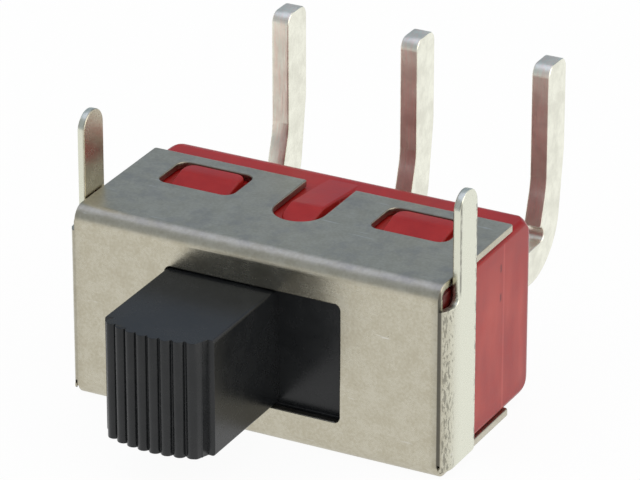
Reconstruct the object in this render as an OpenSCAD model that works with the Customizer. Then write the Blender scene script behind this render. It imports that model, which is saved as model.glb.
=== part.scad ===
// Slide switch with one changeover contact, for a circuit board: a folded metal frame holds a
// moulded case, a knob slides in the frame's window, and three terminals turn up behind the case
// beside the frame's two legs. Millimetres. X is the way the knob slides and +Y runs from the
// knob to the terminals. Z is up, the way the legs point. The origin is on the underside of the
// frame, below the middle terminal's line. Depths are measured back from the frame's front face.

/* [Frame] */
// Thickness of the frame's sheet
sheet_t = 0.25; // [0.2:0.01:0.3]
// Height over the top and bottom flanges
frame_h = 6.6; // [6.2:0.1:8]
// Depth of the top flange
top_flange_d = 5.24; // [5.1:0.02:5.6]
// Depth of the bottom flange
bottom_flange_d = 5.1; // [5:0.05:5.6]
// Outside radius of the bends along the top and bottom of the front plate
bend_r = 0.5; // [0.35:0.05:0.7]
// Outside radius of the folds at the two ends of the front plate
fold_r = 0.75; // [0.5:0.05:0.8]
// Distance from a leg's outer face in to the sharp crease where its fold starts
fold_inset = 0.24; // [0.16:0.02:0.24]
// Inside radius of those folds
fold_inner_r = 0.15; // [0.1:0.01:0.2]
// Radius of the flanges' back corners
flange_corner_r = 0.1; // [0.05:0.05:0.5]
// Radius of the window's corners
window_corner_r = 0.2; // [0.05:0.05:0.2]
// How far the middle of the window and of the knob stands beside the frame's middle
window_x = -0.07; // [-0.1:0.01:0.1]
// Distance from the frame's front face back to the origin
front_to_origin = 3.2; // [2.6:0.1:4]

/* [Legs] */
// Height of a leg's tip above the underside of the frame
leg_h = 9.37; // [8:0.1:11]
// Width of a leg
leg_w = 1.22; // [1:0.02:1.5]
// Depth of a leg's front edge
leg_front_d = 0.82; // [0.7:0.02:1.2]
// Height of the end strip's lower edge above the underside of the frame
strip_bottom = 0.28; // [0.26:0.01:0.4]
// Drop from the top flange to the floor of the notch in front of a leg
notch_drop = 0.8; // [0.6:0.05:1]
// Radius in the corner of that notch
notch_root_r = 0.25; // [0.1:0.01:0.26]
// Slit between a leg and the flange's edge
leg_slit = 0.04; // [0.03:0.01:0.08]

/* [Snap windows] */
// Distance between the centres of the two snap windows in a flange
snap_pitch = 7.54; // [7:0.02:8]
// Width of a snap window
snap_w = 2.68; // [2.4:0.02:3]
// Length of a snap window from front to back
snap_len = 1.73; // [1.5:0.01:1.8]
// Depth of a snap window's front edge
snap_front_d = 3; // [2.6:0.02:3]
// Radius of a snap window's corners
snap_corner_r = 0.35; // [0.1:0.05:0.5]
// Width of the notch in the top flange's back edge
notch_w = 1.74; // [1.4:0.02:1.8]
// Depth of the notch's round front end
notch_front_d = 2.28; // [2:0.02:2.8]
// Space between a lug's end and the end of its window
lug_end_gap = 0.28; // [0.1:0.02:0.4]
// Space between a lug's back face and the back edge of its window
lug_back_gap = 0.04; // [0.02:0.01:0.1]
// Drop from the flange's outer face to the crown of a lug
lug_sink = 0.02; // [0.01:0.01:0.1]

/* [Case] */
// Width of the case
case_w = 12.7; // [12.5:0.1:16]
// Depth of the case's back face
case_back_d = 6.79; // [6.6:0.01:9]
// Thickness of the case's side, top and bottom walls
case_wall = 0.6; // [0.45:0.05:0.7]
// Thickness of the case's back wall
back_wall = 1; // [0.8:0.1:1.2]
// Radius of the case's long side edges
case_edge_r = 0.22; // [0.1:0.02:0.3]
// Radius of the top and bottom edges of the case's back face
case_back_r = 0.5; // [0.1:0.05:0.7]
// Radius of the upright edges of the case's back face
case_corner_r = 0.42; // [0.1:0.02:0.5]
// Radius of the ball that blends the three edges at each of the case's back corners
ball_r = 0.75; // [0.7:0.05:0.9]
// Distance of the ball's centre from the case's side and from its top or bottom
ball_inset = 0.6; // [0.5:0.02:0.62]
// Clearance between the case and the frame's front plate and flanges
seat_gap = 0.02; // [0.01:0.01:0.05]
// Clearance between the case's side and a leg
side_gap = 0.07; // [0.03:0.01:0.15]

/* [Slider] */
// Height of the knob's centre line above the underside of the frame
axis_z = 3.25; // [3.2:0.05:4]
// Travel of the slider from one end to the other
travel = 2.26; // [1.8:0.02:2.4]
// Width of the knob
knob_w = 3.8; // [3.3:0.02:4]
// Height of the knob
knob_h = 3.94; // [3.4:0.02:4]
// Reach of the knob's corner strips in front of the frame
knob_reach = 3.82; // [3:0.01:5]
// How far the crowns of the middle ribs stand in front of the corner strips
crown_rise = 0.72; // [0.6:0.02:0.9]
// Radius of the arc that the ribs' crowns follow
crown_arc_r = 4; // [3.5:0.1:6]
// Number of ribs
rib_count = 8; // [5:1:9]
// Distance between ribs
rib_pitch = 0.4; // [0.34:0.01:0.42]
// How far the middle of the ribs stands beside the knob's middle
ribs_x = -0.1; // [-0.1:0.01:0]
// Radius of the knob's long edges
knob_edge_r = 0.1; // [0.1:0.01:0.15]
// Depth of the grooves between the ribs
rib_depth = 0.13; // [0.08:0.01:0.16]
// Width of a corner strip
strip_w = 0.3; // [0.1:0.02:0.4]
// Clearance between the knob and the window, above and below
window_gap = 0.06; // [0.05:0.01:0.15]
// Clearance left between the knob and the window's end at full travel
end_gap = 0.03; // [0.02:0.01:0.06]
// Width of the slider's plate behind the window
plate_w = 9; // [8.7:0.1:9]
// Height of the slider's plate
plate_h = 4.6; // [4.4:0.05:4.7]
// Thickness of the slider's plate
plate_t = 0.8; // [0.6:0.05:1]
// Depth of the shallow track in the plate's face
track_depth = 0.08; // [0.04:0.01:0.12]
// Clearance between the plate and the frame
slide_gap = 0.05; // [0.03:0.01:0.08]
// Diameter of the boss behind the plate
boss_dia = 2.6; // [2.3:0.1:3]
// Length of the boss behind the plate
boss_len = 1.2; // [1:0.1:1.4]

/* [Plunger and spring] */
// Diameter of the plunger
plunger_dia = 1.44; // [1.2:0.02:1.5]
// Radial clearance of the plunger in its bore
plunger_gap = 0.03; // [0.02:0.01:0.06]
// Length of the plunger from its front end to its round nose
plunger_len = 1.8; // [1.5:0.1:2]
// Space between the plunger's nose and the rocker
nose_gap = 0.05; // [0.04:0.01:0.08]
// Depth of the bore ahead of the frame's front face
bore_ahead = 0.9; // [0.5:0.1:1.5]
// Wire diameter of the spring
wire_dia = 0.18; // [0.12:0.01:0.22]
// Number of turns of the spring
spring_turns = 6; // [4:1:8]

/* [Rocker] */
// Thickness of the rocker's strip
rocker_t = 0.25; // [0.2:0.01:0.3]
// Height of the rocker's strip
rocker_h = 2.2; // [1.8:0.1:2.4]
// Length of each of the rocker's arms
arm_len = 5; // [4.6:0.1:5.2]
// Angle by which each arm is bent forward
arm_angle = 4; // [3:0.5:5]
// Depth of the rocker's strip behind the frame's front face
rocker_d = 3.4; // [3.2:0.05:3.6]
// Height of each of the rocker's two saddles
saddle_h = 0.55; // [0.4:0.05:0.6]
// Radial clearance of a saddle on its pivot
pivot_gap = 0.03; // [0.02:0.01:0.06]
// Space between a closed arm and its fixed contact
contact_gap = 0.02; // [0.01:0.01:0.04]

/* [Terminals] */
// Distance between terminals
terminal_pitch = 4.7; // [4:0.1:4.7]
// Thickness of a terminal's metal
terminal_t = 0.62; // [0.5:0.02:0.7]
// Width of a terminal's upright pin
pin_w = 1.28; // [1:0.02:1.5]
// Depth of a pin's front face
pin_front_d = 10.66; // [9:0.02:12]
// Height of a pin's tip above the underside of the frame
pin_tip_h = 9.52; // [8:0.02:12]
// Radius of a pin tip's corners
pin_tip_r = 0.38; // [0.1:0.02:0.5]
// Height of the underside of a terminal's level run
run_z = 2.35; // [2.1:0.05:2.6]
// Height of a terminal's level run
run_h = 1.22; // [1:0.02:1.3]
// Outside radius of a terminal's corner
corner_r = 2.05; // [1:0.05:2.2]
// Height at which a pin's back starts to lean forward, on the way down
back_kink_z = 6.3; // [5.6:0.1:7]
// Height at which a pin's front starts to lean forward
front_kink_z = 5.4; // [5:0.1:6]
// How far a pin's front leans forward
front_lean = 0.41; // [0.3:0.01:0.5]
// How far a pin's back leans forward
back_lean = 0.56; // [0.3:0.02:0.7]
// Radius of the round relief in a terminal's inner corner
relief_r = 0.25; // [0.1:0.05:0.3]
// Thickness of a fixed contact
contact_t = 0.25; // [0.15:0.05:0.35]
// Width of a fixed contact
contact_w = 0.9; // [0.7:0.05:1.1]
// Height of a fixed contact
contact_h = 1.9; // [1.5:0.1:2.1]
// Depth of the sealing compound in the case's back
seal_depth = 0.4; // [0.2:0.05:0.5]
// Clearance of the terminals in their slots
slot_gap = 0.02; // [0.01:0.01:0.05]

/* [Hidden] */
$fn = 64;
eps = 0.01;

// Frame: half widths, and the heights and depths that the strips and legs start from
leg_inner_x = case_w / 2 + side_gap;
leg_outer_x = leg_inner_x + sheet_t;
flange_half_w = leg_inner_x - leg_slit;
leg_back_d = leg_front_d + leg_w;
notch_floor_z = frame_h - notch_drop;
window_w = knob_w + travel + 2 * end_gap;
window_h = knob_h + 2 * window_gap;
crease_x = leg_outer_x - fold_inset;
fold_back_d = sqrt(2 * fold_r * fold_inset - fold_inset * fold_inset);

// Case: its outline and its cavity
case_front_d = sheet_t + seat_gap;
case_bottom_z = sheet_t + seat_gap;
case_top_z = frame_h - sheet_t - seat_gap;
cavity_half_w = case_w / 2 - case_wall;
cavity_back_d = case_back_d - back_wall;
lug_front_d = snap_front_d + 0.15;
lug_back_d = snap_front_d + snap_len - lug_back_gap;
lug_crown_z = frame_h - lug_sink;

// Slider at rest, which is the left end of its travel
slider_x = -travel / 2;
plate_front_d = sheet_t + slide_gap;
plate_back_d = plate_front_d + plate_t;
boss_back_d = plate_back_d + boss_len;
grip_half_w = knob_w / 2 - strip_w;
rib_r = rib_pitch / 2 + 0.01;
bore_dia = plunger_dia + 2 * plunger_gap;

// Rocker: its pivot is the round nose of the common terminal
pivot_r = terminal_t / 2;
saddle_r = pivot_r + pivot_gap;
pivot_d = rocker_d + rocker_t + saddle_r;
saddle_outer_r = saddle_r + rocker_t;
saddle_mid_z = rocker_h / 2 + saddle_h / 2;
nib_h = saddle_h - 0.05;
nose_tip_d = pivot_d - saddle_outer_r * cos(arm_angle) - nose_gap;
plunger_front_d = nose_tip_d - plunger_len;

// Terminals: heads inside the case
contact_front_d = pivot_d - saddle_outer_r * cos(arm_angle) + rocker_t + contact_gap;
end_head_d = contact_front_d + contact_t;
end_head_half_h = 1.2;
common_head_half_h = saddle_mid_z + nib_h / 2;
fork_half_h = common_head_half_h - nib_h;
fork_floor_d = pivot_d + 0.5;
run_top_z = run_z + run_h;
pin_back_d = pin_front_d + pin_w;
seal_half_w = terminal_pitch + terminal_t / 2 + 0.4;
seal_margin_z = 0.4;

// ---- Outlines with round corners, made of true arcs ----

// Unit vector from one point to another
function direction(from, to) = (to - from) / norm(to - from);

// Item of a list, counted round past its ends
function around(list, i) = list[(i + len(list)) % len(list)];

// Half the angle inside corner i
function half_angle(points, i) =
    acos(direction(points[i], around(points, i - 1)) * direction(points[i], around(points, i + 1))) / 2;

// Point where the arc of corner i meets the edge to its neighbour
function arc_meets(points, radii, i, neighbour) =
    points[i] + radii[i] / tan(half_angle(points, i)) * direction(points[i], around(points, neighbour));

function arc_centre(points, radii, i) =
    let (to_last = direction(points[i], around(points, i - 1)))
    let (to_next = direction(points[i], around(points, i + 1)))
    points[i] + radii[i] / sin(half_angle(points, i)) * direction([0, 0], to_last + to_next);

// Positive at a corner that points outward, when the points run anticlockwise
function turn(points, i) =
    let (into = points[i] - around(points, i - 1), out = around(points, i + 1) - points[i])
    into[0] * out[1] - into[1] * out[0];

// The slice of corner i's circle that lies between its arc's ends and the corner
module corner_slice(points, radii, i) {
    intersection() {
        translate(arc_centre(points, radii, i)) circle(r = radii[i]);
        polygon([arc_meets(points, radii, i, i - 1), points[i], arc_meets(points, radii, i, i + 1)]);
    }
}

// Outline through points that run anticlockwise, with its own radius at each corner
module rounded_outline(points, radii) {
    round_corners = [for (i = [0 : len(points) - 1]) if (radii[i] > 0) i];
    difference() {
        union() {
            polygon([for (i = [0 : len(points) - 1]) each radii[i] > 0
                ? [arc_meets(points, radii, i, i - 1), arc_meets(points, radii, i, i + 1)]
                : [points[i]]]);
            for (i = round_corners) if (turn(points, i) > 0) corner_slice(points, radii, i);
        }
        for (i = round_corners) if (turn(points, i) < 0) corner_slice(points, radii, i);
    }
}

// Rectangle between two opposite corners, with one radius at its four corners
module rounded_rect(low, high, r) {
    rounded_outline([low, [high[0], low[1]], high, [low[0], high[1]]], [r, r, r, r]);
}

// ---- Placing: depths from the front face become Y, and sketches are stood up ----

module from_front() {
    translate([0, -front_to_origin, 0]) children();
}

// A sketch of depth and height, given a width along X about x
module extrude_x(width, x = 0) {
    translate([x - width / 2, 0, 0]) rotate([90, 0, 90]) linear_extrude(width) children();
}

// A sketch of X and height, carried back from depth from_d to depth to_d
module extrude_y(from_d, to_d) {
    translate([0, to_d, 0]) rotate([90, 0, 0]) linear_extrude(to_d - from_d) children();
}

// A plan sketch of X and depth, carried up from from_z to to_z
module extrude_z(from_z, to_z) {
    translate([0, 0, from_z]) linear_extrude(to_z - from_z) children();
}

module both_sides() {
    children();
    mirror([1, 0, 0]) children();
}

// What is drawn for the top flange, and its mirror image for the bottom one
module top_and_bottom() {
    children();
    translate([0, 0, frame_h]) mirror([0, 0, 1]) children();
}

// ---- Mounting frame: one folded sheet ----

module channel_section() {
    inner_r = bend_r - sheet_t;
    rounded_outline(
        [[0, 0], [bottom_flange_d, 0], [bottom_flange_d, sheet_t], [sheet_t, sheet_t],
         [sheet_t, frame_h - sheet_t], [top_flange_d, frame_h - sheet_t], [top_flange_d, frame_h],
         [0, frame_h]],
        [bend_r, 0, 0, inner_r, inner_r, 0, 0, bend_r]);
}

// Plan of the top flange, with its round corners and its notch
module top_flange_plan() {
    notch_r = notch_w / 2 - eps;
    rounded_outline(
        [[-flange_half_w, -eps], [flange_half_w, -eps], [flange_half_w, top_flange_d],
         [notch_w / 2, top_flange_d], [notch_w / 2, notch_front_d], [-notch_w / 2, notch_front_d],
         [-notch_w / 2, top_flange_d], [-flange_half_w, top_flange_d]],
        [0, 0, flange_corner_r, flange_corner_r / 2, notch_r, notch_r, flange_corner_r / 2,
         flange_corner_r]);
}

module bottom_flange_plan() {
    rounded_outline(
        [[-flange_half_w, -eps], [flange_half_w, -eps], [flange_half_w, bottom_flange_d],
         [-flange_half_w, bottom_flange_d]],
        [0, 0, flange_corner_r, flange_corner_r]);
}

module snap_window_plan() {
    translate([snap_pitch / 2, snap_front_d])
        rounded_rect([-snap_w / 2, 0], [snap_w / 2, snap_len], snap_corner_r);
}

// End strip and leg, flat against the case's side
module leg_profile() {
    root_r = min(notch_root_r, leg_front_d - fold_back_d - eps);
    rounded_outline(
        [[fold_back_d, strip_bottom], [leg_back_d, strip_bottom], [leg_back_d, leg_h],
         [leg_front_d, leg_h], [leg_front_d, notch_floor_z], [fold_back_d, notch_floor_z]],
        [0, 0.12, leg_w / 2 - eps, leg_w / 2 - eps, root_r, 0]);
}

// Plan of the fold that turns the front plate's end back along the case's side. The plate is
// flat up to a sharp crease, and from there one arc runs to the side.
module fold_plan() {
    start_x = flange_half_w - fold_r;
    arc_corner_d = fold_inset * (fold_r - fold_inset) / fold_back_d;
    rounded_outline(
        [[start_x, 0], [crease_x, 0], [leg_outer_x, arc_corner_d],
         [leg_outer_x, fold_back_d + eps], [leg_inner_x, fold_back_d + eps],
         [leg_inner_x, sheet_t], [start_x, sheet_t]],
        [0, 0, fold_r - eps, 0, 0, fold_inner_r, 0]);
}

module end_strip_and_leg() {
    extrude_x(sheet_t, leg_inner_x + sheet_t / 2) leg_profile();
    difference() {
        extrude_z(strip_bottom, notch_floor_z) fold_plan();
        // the slit that frees the bottom bend from the fold
        translate([0, -1, 0]) cube([leg_inner_x, 2, bend_r]);
        // round end of that slit
        translate([leg_inner_x - leg_slit / 2, 1, bend_r])
            rotate([90, 0, 0]) cylinder(r = leg_slit * 1.5, h = 2);
    }
}

module mounting_frame() color([0.72, 0.70, 0.64]) from_front() {
    difference() {
        union() {
            intersection() {
                extrude_x(2 * flange_half_w) channel_section();
                union() {
                    extrude_z(frame_h / 2, frame_h + eps) top_flange_plan();
                    extrude_z(-eps, frame_h / 2) bottom_flange_plan();
                }
            }
            both_sides() end_strip_and_leg();
        }
        extrude_y(-eps, sheet_t + eps) translate([window_x, axis_z])
            rounded_rect([-window_w / 2, -window_h / 2], [window_w / 2, window_h / 2], window_corner_r);
        both_sides() extrude_z(-1, frame_h + 1) snap_window_plan();
    }
}

// ---- Case: a moulded box, open to the front, with lugs that snap into the flanges ----

// Its front edges are rounded to clear the inside of the frame's bends and folds
module case_block() {
    half_w = case_w / 2;
    front_bend_r = bend_r - sheet_t;
    intersection() {
        extrude_z(case_bottom_z, case_top_z) rounded_outline(
            [[-half_w, case_front_d], [half_w, case_front_d], [half_w, case_back_d], [-half_w, case_back_d]],
            [fold_inner_r, fold_inner_r, case_corner_r, case_corner_r]);
        extrude_x(case_w) rounded_outline(
            [[case_front_d, case_bottom_z], [case_back_d, case_bottom_z], [case_back_d, case_top_z],
             [case_front_d, case_top_z]],
            [front_bend_r, case_back_r, case_back_r, front_bend_r]);
        extrude_y(case_front_d, case_back_d)
            rounded_rect([-half_w, case_bottom_z], [half_w, case_top_z], case_edge_r);
    }
}

// What a ball blend takes off one back corner of the case
module corner_blend() {
    translate([case_w / 2 - ball_inset, case_back_d - ball_r, case_top_z - ball_inset]) difference() {
        cube([ball_inset + 1, ball_r + 1, ball_inset + 1]);
        sphere(r = ball_r);
    }
}

// Wedge that rises towards the back, so that it slips in under the flange and then holds
module lug_ramp(back_d) {
    rise = lug_crown_z - case_top_z;
    polygon([[lug_front_d, case_top_z - eps], [back_d, case_top_z - eps], [back_d, lug_crown_z],
             [lug_front_d + 4 * rise, lug_crown_z], [lug_front_d, case_top_z]]);
}

module snap_lug() {
    half_w = snap_w / 2 - lug_end_gap;
    intersection() {
        extrude_x(snap_w, snap_pitch / 2) lug_ramp(lug_back_d);
        extrude_z(0, frame_h) translate([snap_pitch / 2, 0])
            rounded_rect([-half_w, lug_front_d - eps], [half_w, lug_back_d], snap_corner_r);
    }
}

// Round-nosed lug in the top flange's notch, level with the rim behind the flange
module notch_lug() {
    half_w = notch_w / 2 - lug_end_gap;
    front_d = notch_front_d + lug_end_gap;
    back_d = case_back_d - case_back_r;
    rise = lug_crown_z - case_top_z;
    intersection() {
        extrude_z(0, frame_h) rounded_outline(
            [[-half_w, front_d], [half_w, front_d], [half_w, back_d], [-half_w, back_d]],
            [half_w - eps, half_w - eps, 0, 0]);
        extrude_x(notch_w) polygon(
            [[front_d, case_top_z - eps], [back_d, case_top_z - eps], [back_d, case_top_z],
             [top_flange_d - 0.2, lug_crown_z], [front_d + 4 * rise, lug_crown_z],
             [front_d, case_top_z]]);
    }
}

// Ribs above and below the rocker that keep it on its pivot, rooted in the case's walls
module rocker_guides() {
    inner_z = common_head_half_h + 0.08;
    depth = cavity_back_d - rocker_d + 0.2 + eps;
    low_wall_z = case_bottom_z + case_wall / 2;
    high_wall_z = case_top_z - case_wall / 2;
    translate([-1, rocker_d - 0.2, axis_z + inner_z]) cube([2, depth, high_wall_z - axis_z - inner_z]);
    translate([-1, rocker_d - 0.2, low_wall_z]) cube([2, depth, axis_z - inner_z - low_wall_z]);
}

module terminal_slots(gap, from_d, to_d) {
    for (i = [-1 : 1])
        translate([i * terminal_pitch - terminal_t / 2 - gap, from_d, run_z - gap])
            cube([terminal_t + 2 * gap, to_d - from_d, run_h + 2 * gap]);
}

module case() color([0.62, 0.17, 0.19]) from_front() {
    difference() {
        union() {
            difference() {
                case_block();
                both_sides() top_and_bottom() corner_blend();
                translate([-cavity_half_w, 0, case_bottom_z + case_wall])
                    cube([2 * cavity_half_w, cavity_back_d, case_top_z - case_bottom_z - 2 * case_wall]);
            }
            both_sides() top_and_bottom() snap_lug();
            notch_lug();
            rocker_guides();
        }
        terminal_slots(slot_gap, cavity_back_d - eps, case_back_d + eps);
        seal_block(0);
    }
}

// ---- Sealing compound that fills a pocket in the case's back, round the terminals ----

module seal_block(gap) {
    translate([-seal_half_w + gap, case_back_d - seal_depth + gap, run_z - seal_margin_z + gap])
        cube([2 * (seal_half_w - gap), seal_depth - gap + (gap > 0 ? 0 : eps),
              run_h + 2 * (seal_margin_z - gap)]);
}

module terminal_seal() color([0.45, 0.09, 0.08]) from_front() difference() {
    seal_block(slot_gap / 2);
    terminal_slots(slot_gap / 2, case_back_d - 1, case_back_d + 1);
}

// ---- Terminals: stamped from thick strip ----

// From the back wall out, down the run, round the corner and up the pin, then back to the wall
inner_corner_d = pin_front_d - front_lean;
run_and_pin = [[pin_back_d - back_lean, run_z], [pin_back_d, back_kink_z],
               [pin_back_d, pin_tip_h], [pin_front_d, pin_tip_h],
               [pin_front_d, front_kink_z], [inner_corner_d, run_top_z + 2 * relief_r],
               [inner_corner_d, run_top_z]];
run_and_pin_radii = [corner_r, 2, pin_tip_r, pin_tip_r, 2, 0, 0];

module inner_relief() {
    translate([inner_corner_d, run_top_z + relief_r]) circle(r = relief_r);
}

module end_terminal(side) {
    low_z = axis_z - end_head_half_h;
    high_z = axis_z + end_head_half_h;
    extrude_x(terminal_t, side * terminal_pitch) difference() {
        rounded_outline(
            concat([[end_head_d, low_z], [cavity_back_d, low_z], [cavity_back_d, run_z]], run_and_pin,
                   [[cavity_back_d, run_top_z], [cavity_back_d, high_z], [end_head_d, high_z]]),
            concat([0, 0, 0], run_and_pin_radii, [0, 0, 0]));
        inner_relief();
    }
}

module left_terminal() color([0.84, 0.84, 0.78]) from_front() end_terminal(-1);

module right_terminal() color([0.84, 0.84, 0.78]) from_front() end_terminal(1);

// The common terminal ends in a fork whose two round noses are the rocker's pivot
module common_terminal() color([0.84, 0.84, 0.78]) from_front() {
    low_z = axis_z - common_head_half_h;
    high_z = axis_z + common_head_half_h;
    extrude_x(terminal_t) difference() {
        rounded_outline(
            concat([[pivot_d, low_z], [cavity_back_d, low_z], [cavity_back_d, run_z]], run_and_pin,
                   [[cavity_back_d, run_top_z], [cavity_back_d, high_z], [pivot_d, high_z],
                    [pivot_d, axis_z + fork_half_h], [fork_floor_d, axis_z + fork_half_h],
                    [fork_floor_d, axis_z - fork_half_h], [pivot_d, axis_z - fork_half_h]]),
            concat([0, 0, 0], run_and_pin_radii, [0, 0, 0, 0, 0.1, 0.1, 0]));
        inner_relief();
    }
    for (z = [low_z, axis_z + fork_half_h])
        translate([0, pivot_d, z]) cylinder(r = pivot_r, h = nib_h);
}

// ---- Fixed contacts on the front edges of the end terminals ----

module fixed_contact(side) {
    extrude_z(axis_z - contact_h / 2, axis_z + contact_h / 2)
        translate([side * terminal_pitch, 0]) rounded_outline(
            [[-contact_w / 2, contact_front_d], [contact_w / 2, contact_front_d],
             [contact_w / 2, end_head_d], [-contact_w / 2, end_head_d]],
            [0.1, 0.1, 0, 0]);
}

module left_contact() color([0.9, 0.9, 0.9]) from_front() fixed_contact(-1);

module right_contact() color([0.9, 0.9, 0.9]) from_front() fixed_contact(1);

// ---- Rocker contact: a shallow V that tips on the common terminal's noses ----

// Plan of the strip about the pivot, with both arms bent forward from the middle
module rocker_plan() {
    rise = arm_len * tan(arm_angle);
    polygon([[-arm_len, -rise - saddle_outer_r], [0, -saddle_outer_r], [arm_len, -rise - saddle_outer_r],
             [arm_len, -rise - saddle_r], [0, -saddle_r], [-arm_len, -rise - saddle_r]]);
}

// Half ring that sits on one nose, open to the back
module saddle_plan() {
    difference() {
        circle(r = saddle_outer_r);
        circle(r = saddle_r);
        translate([-1, 0]) square([2, 1]);
    }
}

// At rest it is tipped to the left, so that the left arm lies along X on the left contact
module rocker_contact() color([0.80, 0.62, 0.36]) from_front()
    translate([0, pivot_d, axis_z]) rotate([0, 0, -arm_angle]) {
        extrude_z(-rocker_h / 2, rocker_h / 2) rocker_plan();
        for (side = [-1, 1])
            translate([0, 0, side * (saddle_mid_z - 0.025)])
                extrude_z(-saddle_h / 2 - 0.025, saddle_h / 2 + 0.025) saddle_plan();
    }

// ---- Slider: the ribbed knob, the plate behind the window and the boss for the plunger ----

// Reach of the rib crowns in front of the frame, at x from the knob's middle
function crown_reach(x) =
    knob_reach + crown_rise - crown_arc_r + sqrt(crown_arc_r * crown_arc_r - x * x);

function rib_x(i) = (i - (rib_count - 1) / 2) * rib_pitch + ribs_x;

// The ribs stand along an arc. The last one runs on as a sloping shoulder to the corner strip.
module grip_plan() {
    root_r = crown_arc_r - rib_depth;
    intersection() {
        translate([0, -knob_reach - crown_rise + crown_arc_r]) circle(r = root_r, $fn = 128);
        translate([-grip_half_w, -knob_reach - crown_rise]) square([2 * grip_half_w, crown_rise + 1]);
    }
    for (i = [0 : rib_count - 1]) {
        x = rib_x(i);
        translate([x, -crown_reach(x) + rib_r]) circle(r = rib_r, $fn = 32);
    }
    last_x = rib_x(rib_count - 1);
    last_reach = crown_reach(last_x);
    rounded_outline([[last_x, -knob_reach + 0.1], [last_x, -last_reach], [last_x + 0.2, -last_reach + 0.06],
        [grip_half_w + 0.08, -knob_reach + 0.02], [grip_half_w + 0.08, -knob_reach + 0.1]], [0, 0, 0.12, 0, 0]);
}

module slider() color([0.12, 0.13, 0.14]) from_front() translate([slider_x, 0, 0]) {
    difference() {
        union() {
            translate([window_x, 0, 0]) {
                extrude_y(-knob_reach, plate_front_d + eps) translate([0, axis_z])
                    rounded_rect([-knob_w / 2, -knob_h / 2], [knob_w / 2, knob_h / 2], knob_edge_r);
                extrude_z(axis_z - knob_h / 2, axis_z + knob_h / 2) grip_plan();
            }
            difference() {
                translate([-plate_w / 2, plate_front_d, axis_z - plate_h / 2])
                    cube([plate_w, plate_t, plate_h]);
                translate([-plate_w / 2 - 1, plate_front_d - 1, axis_z - knob_h / 2])
                    cube([plate_w + 2, 1 + track_depth, knob_h]);
            }
            translate([window_x - knob_w / 2, plate_front_d, axis_z - knob_h / 2])
                cube([knob_w, plate_t, knob_h]);
            translate([0, plate_back_d - eps, axis_z]) rotate([-90, 0, 0])
                cylinder(d = boss_dia, h = boss_len + eps);
        }
        translate([0, -bore_ahead, axis_z]) rotate([-90, 0, 0])
            cylinder(d = bore_dia, h = bore_ahead + boss_back_d + 1);
    }
}

// ---- Plunger and its spring, in the slider's bore ----

module plunger() color([0.86, 0.84, 0.76]) from_front()
    translate([slider_x, plunger_front_d, axis_z]) rotate([-90, 0, 0]) {
        cylinder(d = plunger_dia, h = plunger_len - plunger_dia / 2);
        translate([0, 0, plunger_len - plunger_dia / 2]) sphere(d = plunger_dia);
    }

// Ring of the wire's section at a fraction of the way along the helix, which runs along Z
function wire_ring(fraction, length, helix_r, sides) =
    let (turn_angle = 360 * spring_turns * fraction)
    let (lead = atan(length / (2 * PI * helix_r * spring_turns)))
    [for (i = [0 : sides - 1])
        let (a = 360 * i / sides)
        let (out = helix_r + wire_dia / 2 * cos(a))
        let (across = wire_dia / 2 * sin(a))
        [out * cos(turn_angle) + across * sin(lead) * sin(turn_angle),
         out * sin(turn_angle) - across * sin(lead) * cos(turn_angle),
         length * fraction + across * cos(lead)]];

module plunger_spring() color([0.75, 0.76, 0.78]) from_front() {
    sides = 8;
    rings = spring_turns * 20;
    end_space = wire_dia / 2 + 0.03;
    length = plunger_front_d + bore_ahead - 2 * end_space;
    helix_r = bore_dia / 2 - 0.08 - wire_dia / 2;
    points = [for (k = [0 : rings]) each wire_ring(k / rings, length, helix_r, sides)];
    side_faces = [for (k = [0 : rings - 1], i = [0 : sides - 1])
        [k * sides + i, k * sides + (i + 1) % sides, (k + 1) * sides + (i + 1) % sides, (k + 1) * sides + i]];
    start_cap = [for (i = [0 : sides - 1]) sides - 1 - i];
    end_cap = [for (i = [0 : sides - 1]) rings * sides + i];
    translate([slider_x, -bore_ahead + end_space, axis_z]) rotate([-90, 0, 0])
        polyhedron(points, concat(side_faces, [start_cap, end_cap]), convexity = 10);
}

mounting_frame();
case();
terminal_seal();
left_terminal();
common_terminal();
right_terminal();
left_contact();
right_contact();
rocker_contact();
slider();
plunger();
plunger_spring();
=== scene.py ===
# %% [markdown]
# # A slide switch, in Blender
#
# The switch is small: 13 mm across, with sheet metal a quarter of a millimetre thick. A folded
# metal frame holds a red moulded case. A black ribbed knob slides in the frame's window, and
# three thick terminals turn up behind the case. Its mechanism is inside, out of sight.
#
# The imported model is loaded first, as a fixed frame of reference. The pieces that show are then
# modelled again here, because sheet metal and mouldings look real only when their edges are
# slightly round and their bends are smooth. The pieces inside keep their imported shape.

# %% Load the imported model
import math

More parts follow.
